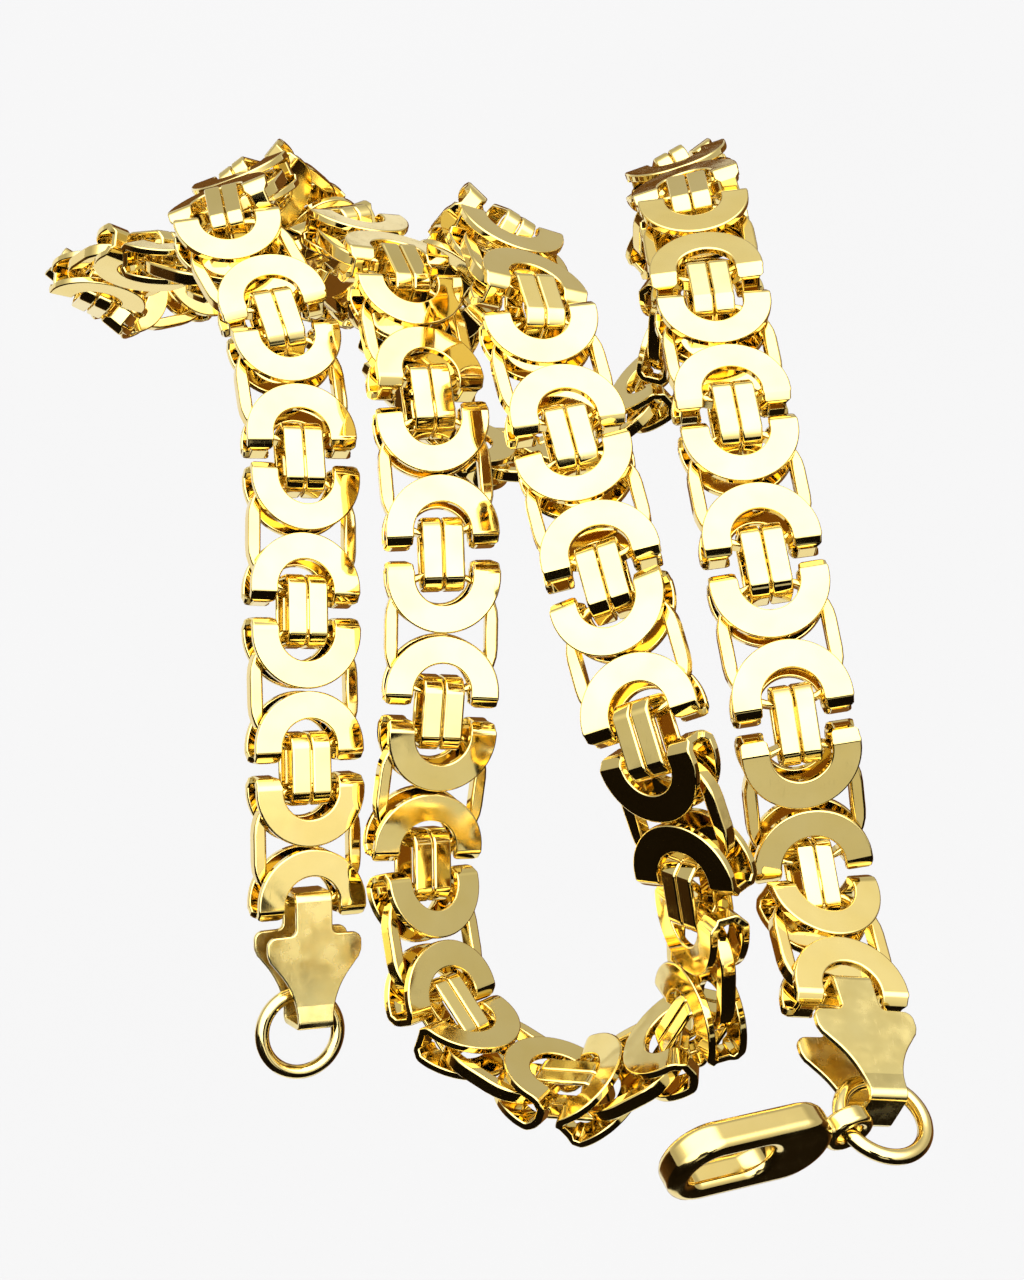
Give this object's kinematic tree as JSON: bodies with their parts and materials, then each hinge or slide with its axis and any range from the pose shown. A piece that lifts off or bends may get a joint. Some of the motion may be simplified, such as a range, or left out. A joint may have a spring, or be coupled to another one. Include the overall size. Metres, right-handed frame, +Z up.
{
  "type": "flat byzantine chain necklace",
  "caption": "Flat byzantine chain of folded horseshoe links, oval links and twin bars, draped over a seat with both ends free.",
  "frame": {"origin": "the seat that carries the drape, under the crest of the two middle columns", "axes": "+Z up, +X to the viewer's right across the columns, the columns fall towards -Y and down"},
  "size_m": [0.0903, 0.151, 0.0622],
  "materials": {
    "gold": "polished"
  },
  "bodies": {
    "root": {"chain_left": "gold", "chain_right": "gold", "end_cap_left": "gold", "end_cap_right": "gold", "end_ring_left": "gold", "end_ring_right": "gold", "clasp": "gold"}
  },
  "joints": []
}
